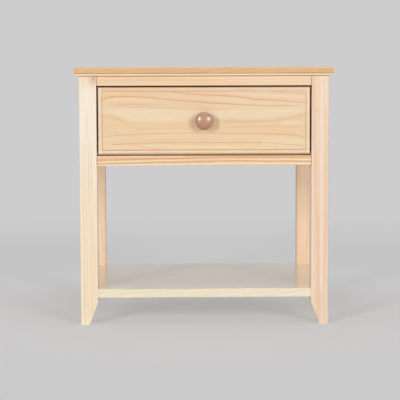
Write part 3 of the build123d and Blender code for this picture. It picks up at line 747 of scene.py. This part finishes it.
# %% Right front leg
right_streaks = [
    streak(
        [(-40, 254), (125, 251), (209, 250.6), (257, 246.8), (358, 244), (441, 241.5), (600, 240)],
        -9, 2.5, 0.55, (235, 190, 156), fade=30,
    ),
    streak([(60, 257), (221, 256.6), (441, 256), (600, 255)], 4, 4, 0.65, (247, 230, 205), fade=30),
    streak([(40, 238), (200, 237), (420, 236)], 3, 4, 0.45, (249, 230, 205), fade=60),
    streak(
        [(-40, 264), (112, 262.6), (161, 264.1), (269, 264.8), (500, 265.2)],
        3, 1.5, 0.45, ochre, fade=30,
    ),
]
pine(
    "leg_front_right", "ZXY", heart=(300, -120), pale=(242, 219, 193),
    warm=(239, 209, 180), late=(226, 178, 142), ring=9.0, lean=(0.008, 0.0), wander=4.0,
    contrast=0.45, seed=3, streaks=right_streaks,
    knots=[(471, 245, 2.6, -3.0, 0.5, (206, 160, 126))],
    joints=[("Z", leg_top)], opening=drawer_opening,
)
print(f"right front leg sawn, with {len(right_streaks)} streaks")

# %% [markdown]
# The rear legs
#
# The rear legs are peach. One loop saws both, and the seed and the streaks make the difference. The left one
# also gets painted shade on its upper part, where the case shades it.

# %% Rear legs
rear_streaks = {
    "left": [
        # Painted shade on the upper part of the leg, where the case shades it
        streak([(230, -250), (700, -250)], 60, 60, 0.4, (243, 203, 168), fade=110),
        streak([(40, -239), (240, -238.5), (330, -240)], 6, 4, 0.5, (246, 209, 168), fade=60),
        streak([(60, -247), (240, -248), (330, -247)], 5, 4, 0.45, (250, 231, 212), fade=60),
    ],
    "right": [
        streak([(60, 237), (240, 236.5), (400, 237)], 4, 4, 0.5, (243, 196, 156), fade=50),
        streak([(250, 243), (300, 242), (400, 242.5)], 2.5, 2, 0.5, (226, 174, 126), fade=40),
        streak([(60, 259), (150, 260), (240, 262), (320, 262)], 5, 5, 0.45, (242, 198, 152), fade=60),
        streak([(60, 250), (170, 250), (240, 252)], 6, 6, 0.4, (249, 222, 178), fade=50),
    ],
}
for side, seed in (("left", 4), ("right", 5)):
    pine(
        f"leg_rear_{side}", "ZXY", heart=(seed * 20, 300), pale=(253, 229, 202),
        warm=(250, 216, 183), late=(228, 180, 140), ring=7.0, wander=5.0, contrast=0.5, seed=seed,
        streaks=rear_streaks[side], joints=[("Z", leg_top)],
    )
print(f"{len(rear_streaks)} rear legs sawn")

# %% [markdown]
# The rails
#
# The upper rail is calm. The lower one is quarter-sawn and streaky, with an orange streak between two light
# ones. Both end against the legs in a fine dark joint, which is part of their finish. The upper rail's line
# under the top is also painted shade, and both get painted shade on the faces of the drawer's opening.

# %% Rails
rail_end = drawer_opening[0]
high_rail_streaks = [
    streak([(-215, 535), (-120, 536.5), (-40, 537), (60, 536)], 3, 3, 0.5, (236, 192, 146), fade=40),
    streak([(-30, 534.5), (10, 535), (60, 534)], 2.5, 2.5, 0.5, (238, 186, 140), fade=20),
    streak([(-232, 529), (-150, 530), (-60, 529)], 3, 5, 0.5, (243, 222, 188), fade=30),
    streak([(70, 528), (160, 529), (232, 529)], 3, 5, 0.5, (245, 218, 188), fade=30),
    streak([(120, 538), (190, 537.4), (240, 537.6)], 1.5, 1.2, 0.5, (232, 188, 146), fade=20),
]
pine(
    "upper_front_rail", "XZY", name="upper_rail_pine", heart=(700, -150), pale=(244, 214, 178),
    warm=(240, 205, 166), late=(226, 178, 130), ring=6.0, lean=(0.012, 0.0), wander=4.0,
    contrast=0.9, seed=6, streaks=high_rail_streaks, joints=[("X", rail_end), ("Z", leg_top)],
    opening=drawer_opening,
)
orange_line = [(-260, 359.5), (-201, 363.4), (-124, 364.6), (4, 366.5), (73, 367.7), (260, 367.6)]
light_line = [
    (-260, 356.5), (-178, 359.4), (-54, 362.5), (4, 364.1), (120, 363.6), (167, 362.2), (260, 362.4),
]
shadow_line = [
    (-260, 353.8), (-147, 356.6), (-100, 358), (4, 358.7), (60, 360.5), (135, 359.2), (260, 358.5),
]
bottom_line = [(-260, 350.5), (-147, 352.3), (4, 354), (57, 355.3), (260, 355.1)]
low_rail_streaks = [
    streak(orange_line, 5, 2.4, 0.95, (222, 160, 112)),
    streak(light_line, 1.8, 1.9, 0.95, (252, 224, 180)),
    streak(shadow_line, 1.9, 2, 0.9, (206, 156, 104)),
    streak(bottom_line, 2, 3.4, 0.85, (252, 229, 194)),
    streak([(-200, 371.5), (-40, 371.2)], 3, 2.4, 0.8, (250, 229, 200)),
]
pine(
    "lower_front_rail", "XZY", name="lower_rail_pine", heart=(250, -165), pale=(241, 208, 168),
    warm=(237, 198, 154), late=(226, 170, 124), ring=6.5, lean=(0.006, 0.0), wander=5.0,
    contrast=0.5, seed=7, streaks=low_rail_streaks, joints=[("X", rail_end)], opening=drawer_opening,
)
print("rails done")

# %% [markdown]
# The top and the shelf
#
# Both are glued up from staves. The hearts lean against their faces, so the rings run out in pointed arches.
# The top is the darkest board, with a satin finish: its flat edge shows a tan layer over a pink one. Its
# rounded upper edge gets a painted highlight, the moulding below gets painted light, and two dark lines of
# painted shade sit under the flat edge and at the moulding's foot. The shelf is pale yellow and glossy, and
# at the photograph's flat angle its lacquer mirrors the room. Its lower front edge gets a painted highlight.

# %% Top and shelf
top_streaks = [
    streak([(-320, 556), (320, 556)], -9, 4, 0.5, (230, 182, 141), axis="Z"),
    streak([(-320, 558), (320, 558)], 6, 3, 0.5, (222, 186, 129), axis="Z"),
    streak([(-300, 557), (-258, 557)], 12, 12, 0.5, (240, 178, 116), axis="Z", fade=14),
    streak([(250, 557), (300, 557)], 12, 12, 0.45, (236, 176, 120), axis="Z", fade=16),
    # Painted highlight along the rounded upper edge, which also lightens the top face
    streak([(-320, 562.6), (320, 562.6)], 100, 1.2, 0.6, (249, 217, 170), axis="Z"),
    # Painted light: the moulding below the flat edge is painted paler, for the light it catches
    streak([(-320, 549.6), (320, 549.6)], -100, 1.2, 1, (255, 236, 198), axis="Z"),
    # Painted shade: a dark line under the flat edge, for the shadow of its step
    streak([(-320, 550.9), (320, 550.9)], 0.9, 0.9, 0.7, (150, 106, 66), axis="Z"),
    # A dark line at the foot of the moulding: the joint with the legs, with painted shade under the top
    streak([(-320, 545.8), (320, 545.8)], 0.7, 0.7, 0.75, (150, 106, 66), axis="Z"),
]
pine(
    "top_panel", "XYZ", name="top_pine", heart=(0, 640), pale=(227, 187, 140), warm=(220, 176, 126),
    late=(186, 132, 82), ring=6.5, lean=(0.0, 0.12), wander=6.0, waver_size=0.5, contrast=1.2,
    seed=8, staves=(-220, 106), streaks=top_streaks, specular=0.25, coat=0.2, coat_roughness=0.6,
    roughness=0.6,
)
shelf_streaks = [
    # Painted highlight along the lower front edge
    streak([(-300, 61), (300, 61)], 1.2, 100, 0.5, (254, 246, 226), axis="Z"),
    streak([(-300, 71), (-120, 70), (60, 71.5), (300, 70)], 2.5, 2.5, 0.35, (240, 218, 180), axis="Z"),
    streak([(-300, 66.5), (0, 66), (300, 67)], 1.5, 1.5, 0.3, (250, 238, 206), axis="Z"),
]
pine(
    "shelf", "XYZ", heart=(0, 150), pale=(246, 237, 212), warm=(243, 229, 199),
    late=(222, 188, 146), ring=6.0, lean=(0.0, 0.1), wander=6.0, waver_size=0.8, contrast=0.65,
    seed=9, staves=(-210, 104), streaks=shelf_streaks, coat=1.0, coat_roughness=0.08, roughness=0.35,
)
print("top and shelf done")

# %% [markdown]
# Panels and the drawer box
#
# The aprons and the back are glued up too, and lie back a little from the legs. The heart of the back
# leans, so its broad face gets arches rather than one large ring. The drawer box is thinner, plainer wood
# without lacquer. All nine boards come from two loops.

# %% Panels and box
for name, axes, lean, seed in (
    ("side_apron_left", "YZX", 0.0, 10),
    ("side_apron_right", "YZX", 0.0, 11),
    ("back_panel", "XZY", 0.12, 12),
    ("slide_cleat_left", "YZX", 0.0, 13),
    ("slide_cleat_right", "YZX", 0.0, 14),
):
    pine(
        name, axes, heart=(447, 40), pale=(242, 217, 183), warm=(237, 205, 166),
        late=(216, 168, 122), ring=6.0, lean=(0.0, lean), wander=7.0, contrast=0.5, seed=seed,
        staves=(350, 98),
    )
for name, axes, seed in (
    ("drawer_side_left", "YZX", 15),
    ("drawer_side_right", "YZX", 16),
    ("drawer_box_front", "XZY", 17),
    ("drawer_back", "XZY", 18),
):
    pine(
        name, axes, heart=(440, 60), pale=(240, 222, 192), warm=(234, 210, 174),
        late=(216, 176, 132), ring=5.0, wander=6.0, contrast=0.4, seed=seed, roughness=0.6, coat=0.0,
    )
print("panels and box done")

# %% [markdown]
# The knob
#
# The knob is turned from a darker, pinker wood and polished. Its grain runs along its own axis, towards the
# room, so its face shows end grain: small rings round a heart that sits below the middle. Its lower part
# gets painted shade, darker and more saturated.

# %% Knob
pine(
    "knob", "YXZ", name="knob_wood", heart=(6, 425), pale=(187, 139, 109), warm=(179, 127, 95),
    late=(152, 98, 66), ring=3.2, wander=1.5, contrast=0.4, seed=19,
    # Painted shade: the lower part of the knob is darker and more saturated
    streaks=[streak([(-300, 431), (-150, 431)], -60, 12, 0.6, (172, 108, 62), axis="Z")],
    specular=1.0, coat=0.8, coat_roughness=0.2,
)
print("knob polished")

# %% [markdown]
# Small hidden things
#
# Plywood, slides, rollers, axles, cams and dowels only show when the drawer is open or the piece is turned
# over. They get fine, even textures: veneer, powder coating, moulded nylon and plating. The last three
# differ only in colours, grain and gloss, so one function makes them all.

# %% Plywood
veneer_ring, veneer_swirl = 14, 60
swirl_waves, veneer_fibre = (300, 40), (60, 1.4)
ply = Finish("plywood_face")
x, y, z = ply.place()
swirl = ply.noise(x / swirl_waves[0], y / swirl_waves[1], z / swirl_waves[1]) * veneer_swirl
wave = ((y + swirl) / veneer_ring).math("FRACT")
fibre = ply.noise(x / veneer_fibre[0], y / veneer_fibre[1], z / veneer_fibre[1], detail=3.0)
veneer = ply.mix(wave.between(0.2, 0.9) * 0.4, tint(232, 212, 178), tint(216, 186, 146))
paint(
    ply.close(
        Base_Color=ply.shade(veneer, fibre.swing(0.2)),
        Roughness=fibre.swing(0.2, 0.6),
        Normal=ply.bump(fibre, 0.15, 0.2),
    ),
    "drawer_bottom",
)
print(f"veneer with rings of {veneer_ring} mm")

# %% Fittings
cloud_size = 30


def speckled(name, first, second, grain, rough, metallic=0.0, strength=0.1):
    """A finish with a fine even texture, such as powder coating, moulded nylon or plating."""
    f = Finish(name)
    x, y, z = f.place()
    fine = f.noise(x / grain, y / grain, z / grain, detail=3.0)
    broad = f.noise(x / cloud_size, y / cloud_size, z / cloud_size)
    return f.close(
        Base_Color=f.mix((fine * 0.6 + broad * 0.5).between(0.3, 0.8), tint(*first), tint(*second)),
        Roughness=broad.swing(0.16, rough),
        Metallic=metallic,
        Normal=f.bump(fine, strength, 0.05),
    )


coated_steel = speckled("coated_steel", (232, 230, 222), (222, 219, 210), 0.5, 0.42, strength=0.2)
nylon = speckled("nylon", (240, 238, 230), (228, 226, 216), 0.8, 0.38)
bright_steel = speckled("bright_steel", (200, 200, 198), (176, 177, 178), 0.4, 0.28, metallic=1.0)
zinc = speckled("zinc", (176, 178, 180), (150, 153, 156), 0.6, 0.45, metallic=1.0, strength=0.25)
screw_steel = speckled("screw_steel", (196, 192, 182), (170, 166, 156), 0.5, 0.32, metallic=1.0)
for side in ("left", "right"):
    for part in ("rail", "arm"):
        paint(coated_steel, f"slide_{part}_{side}")
        paint(nylon, f"{part}_roller_{side}")
        paint(bright_steel, f"{part}_axle_{side}")
paint(zinc, "cam_locks")
paint(screw_steel, "cam_pins")
pine(
    "dowels", "XYZ", name="dowel_beech", heart=(0, 900), pale=(226, 196, 158), warm=(218, 184, 144),
    late=(196, 156, 116), ring=3.0, wander=2.0, contrast=0.3, seed=20, coat=0.0, roughness=0.6,
)
print("fittings done")

# %% [markdown]
# Where the screws sit
#
# The CAD model has each screw as a plain pin with a disc for a head. That is enough to find it: the longest
# side of its box is its axis, the wide end is its head, and the seat is where the two meet. So nothing
# about the screws is typed in here. A copy of the node's mesh is merged first, because its triangles are
# loose, and then taken apart into islands, one for each screw.

# %% Measure the screws
merge_distance = 0.001 * MM
rim_share = 0.95
tip_depth = 0.05 * MM


def islands(name):
    """The groups of joined points in a CAD node's mesh, in the order of the mesh."""
    shell = bmesh.new()
    shell.from_mesh(nodes[name].data)
    bmesh.ops.remove_doubles(shell, verts=shell.verts, dist=merge_distance)
    met = set()
    groups = []
    for start in shell.verts:
        group, front = [], [start]
        while front:
            vert = front.pop()
            if vert not in met:
                met.add(vert)
                group.append(vert.co.copy())
                front.extend(edge.other_vert(vert) for edge in vert.link_edges)
        if group:
            groups.append(group)
    shell.free()
    return groups


def measure_screw(points):
    """Seat, direction of the head, and the sizes of head and shank."""
    low = Vector([min(p[i] for p in points) for i in range(3)])
    high = Vector([max(p[i] for p in points) for i in range(3)])
    size, middle = high - low, (low + high) / 2
    axis = max(range(3), key=lambda i: size[i])
    across = [i for i in range(3) if i != axis]

    def width(p):
        return Vector([p[i] - middle[i] for i in across]).length

    head_radius = max(width(p) for p in points)
    rim = [p[axis] for p in points if width(p) > rim_share * head_radius]
    outward = 1 if sum(rim) / len(rim) > middle[axis] else -1
    tip = low[axis] if outward > 0 else high[axis]
    seat, facing = middle.copy(), Vector((0, 0, 0))
    seat[axis] = min(rim) if outward > 0 else max(rim)
    facing[axis] = outward
    shank_radius = max(width(p) for p in points if abs(p[axis] - tip) < tip_depth)
    sizes = {
        "Head Radius": head_radius,
        "Head Height": max(rim) - min(rim),
        "Shank Radius": shank_radius,
        "Shank Length": abs(seat[axis] - tip),
    }
    return seat, facing, sizes


screw_rows = {
    "carcass": ("rail_screws", "cleat_screws"),
    "drawer": ("arm_screws", "box_screws", "front_screws", "knob_screw"),
}
screws = {name: [measure_screw(g) for g in islands(name)] for row in screw_rows.values() for name in row}
for name, found in screws.items():
    print(name, len(found), {key: round(value / MM, 2) for key, value in found[0][2].items()})

# %% [markdown]
# Making a screw with Geometry Nodes
#
# A screw repeats, so one node tree makes it and sets it on every seat. The head is a circle swept up a
# short line whose scale shrinks towards the top, which gives the rounded edge of a pan head; two crossed
# bars are cut out of it. The shank is swept in the same way and ends in a point, and a thin ridge follows a
# spiral round it up to the diameter that the CAD model gives. The sizes are inputs of the tree, and each
# screw stops at its own angle, from a seeded random value, as real ones do.

# %% Screw tree
screw_tree = bpy.data.node_groups.new("cross_head_screw", "GeometryNodeTree")
screw_sizes = ("Head Radius", "Head Height", "Shank Radius", "Shank Length", "Thread Pitch")
socket_kinds = {
    "Seats": "NodeSocketGeometry",
    **dict.fromkeys(screw_sizes, "NodeSocketFloat"),
    "Metal": "NodeSocketMaterial",
}
screw_inputs = {}
for label, kind in socket_kinds.items():
    socket = screw_tree.interface.new_socket(label, in_out="INPUT", socket_type=kind)
    screw_inputs[label] = socket.identifier
screw_tree.interface.new_socket("Screws", in_out="OUTPUT", socket_type="NodeSocketGeometry")

s = NodeWriter(screw_tree)
given = screw_tree.nodes.new("NodeGroupInput").outputs
seats, head_radius, head_height, shank_radius, shank_length, pitch, metal = (
    Wire(s, given[label]) for label in screw_inputs
)


def swept(corners, steps, radius, scale, height):
    """A round bar from the seat to a height; scale gives its radius from the share of the way."""
    end = s.add("ShaderNodeCombineXYZ", {"Z": height})
    line = s.add("GeometryNodeCurvePrimitiveLine", {"End": end})
    line = s.add("GeometryNodeResampleCurve", {"Curve": line, "Count": steps})
    share = s.add("GeometryNodeSplineParameter", out="Factor")
    circle = s.add("GeometryNodeCurvePrimitiveCircle", {"Resolution": corners, "Radius": radius})
    sockets = {"Curve": line, "Profile Curve": circle, "Scale": scale(share), "Fill Caps": True}
    return s.add("GeometryNodeCurveToMesh", sockets)


print(f"screw tree with {len(screw_inputs)} inputs")

# %% Screw head
head_corners, head_steps = 28, 8
crown = 0.4
bar_length, bar_width, bar_depth = 1.05, 0.24, 1.2
head = swept(head_corners, head_steps, head_radius, lambda share: 1 - share**3 * crown, head_height)
bars = []
for long_side, short_side in ((bar_length, bar_width), (bar_width, bar_length)):
    sides = {"X": head_radius * long_side, "Y": head_radius * short_side, "Z": head_height * bar_depth}
    bar = s.add("GeometryNodeMeshCube", {"Size": s.add("ShaderNodeCombineXYZ", sides)})
    lift = s.add("ShaderNodeCombineXYZ", {"Z": head_height})
    bars.append(s.add("GeometryNodeTransform", {"Geometry": bar, "Translation": lift}))
head = s.add("GeometryNodeMeshBoolean", {"Mesh 1": head, "Mesh 2": bars}, operation="DIFFERENCE")
print(f"head with {len(bars)} crossed bars cut out")

# %% Screw shank and thread
shank_corners, shank_steps = 12, 12
turn_corners, ridge_corners = 14, 4
core_share = 0.78
point_start, point_cut = 0.82, 0.85
thread_share = 0.78


def pointed(share):
    """The shank's radius: even, and then narrowing to its point."""
    return (1 - share.between(point_start, 1.0) * point_cut) * core_share


shank = swept(shank_corners, shank_steps, shank_radius, pointed, shank_length * -1)
spiral = s.add(
    "GeometryNodeCurveSpiral",
    {
        "Resolution": turn_corners,
        "Rotations": shank_length * thread_share / pitch,
        "Start Radius": shank_radius * core_share,
        "End Radius": shank_radius * core_share,
        "Height": shank_length * thread_share,
    },
)
ridge_size = {"Resolution": ridge_corners, "Radius": shank_radius * (1 - core_share)}
ridge = s.add("GeometryNodeCurvePrimitiveCircle", ridge_size)
thread = s.add("GeometryNodeCurveToMesh", {"Curve": spiral, "Profile Curve": ridge, "Fill Caps": True})
drop = s.add("ShaderNodeCombineXYZ", {"Z": shank_length * -point_start})
thread = s.add("GeometryNodeTransform", {"Geometry": thread, "Translation": drop})
screw = s.add("GeometryNodeJoinGeometry", {"Geometry": [head, shank, thread]})
print(f"thread along {thread_share:.0%} of the shank")

# %% Stand the screws on their seats
facing = s.add("GeometryNodeInputNamedAttribute", {"Name": "facing"}, data_type="FLOAT_VECTOR")
stand = s.add("FunctionNodeAlignRotationToVector", {"Vector": facing}, axis="Z")
turn_range = {"Min_001": 0.0, "Max_001": pi, "Seed": 7}
turn = s.add("FunctionNodeRandomValue", turn_range, out="Value_001", data_type="FLOAT")
twist = s.add("FunctionNodeAxisAngleToRotation", {"Axis": (0.0, 0.0, 1.0), "Angle": turn})
turned = {"Rotation": stand, "Rotate By": twist}
stand = s.add("FunctionNodeRotateRotation", turned, rotation_space="LOCAL")
placed = s.add("GeometryNodeInstanceOnPoints", {"Points": seats, "Instance": screw, "Rotation": stand})
solid = s.add("GeometryNodeRealizeInstances", {"Geometry": placed})
plated = s.add("GeometryNodeSetMaterial", {"Geometry": solid, "Material": metal})
screw_tree.links.new(plated.socket, screw_tree.nodes.new("NodeGroupOutput").inputs[0])
print(f"screw tree of {len(screw_tree.nodes)} nodes")

# %% [markdown]
# Setting the screws
#
# Each CAD node of screws becomes a cloud of points with the way they face, the tree is hung on it as a
# modifier, and the evaluated result is kept as a plain mesh. The modifier goes, because the model is
# exported as meshes. The new piece rides on the same body and stands for the CAD node.

# %% Set the screws
thread_pitch = 1.6 * MM
weld_distance = 0.0005 * MM
crease = radians(35)


def set_screws(name, body):
    """Dress one CAD node of screws."""
    found = screws[name]
    cloud = bpy.data.meshes.new(f"{name}_seats")
    cloud.from_pydata([seat for seat, _, _ in found], [], [])
    cloud.attributes.new("facing", "FLOAT_VECTOR", "POINT")
    for item, (_, facing, _) in zip(cloud.attributes["facing"].data, found):
        item.vector = facing
    piece = bpy.data.objects.new(f"{name}_dressed", cloud)
    scene.collection.objects.link(piece)
    modifier = piece.modifiers.new("screws", "NODES")
    modifier.node_group = screw_tree
    for label, value in {**found[0][2], "Thread Pitch": thread_pitch, "Metal": screw_steel}.items():
        modifier[screw_inputs[label]] = value
    made = bpy.data.meshes.new_from_object(piece.evaluated_get(bpy.context.evaluated_depsgraph_get()))
    piece.modifiers.remove(modifier)
    shell = bmesh.new()
    shell.from_mesh(made)
    bmesh.ops.remove_doubles(shell, verts=shell.verts, dist=weld_distance)
    bmesh.ops.recalc_face_normals(shell, faces=shell.faces)
    shell.to_mesh(made)
    shell.free()
    made.shade_smooth()
    made.set_sharp_from_angle(angle=crease)
    piece.data = made
    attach(piece, body)
    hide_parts(name)
    print(name, len(found), "screws,", len(made.polygons), "faces")


for body, row in screw_rows.items():
    for name in row:
        set_screws(name, body)
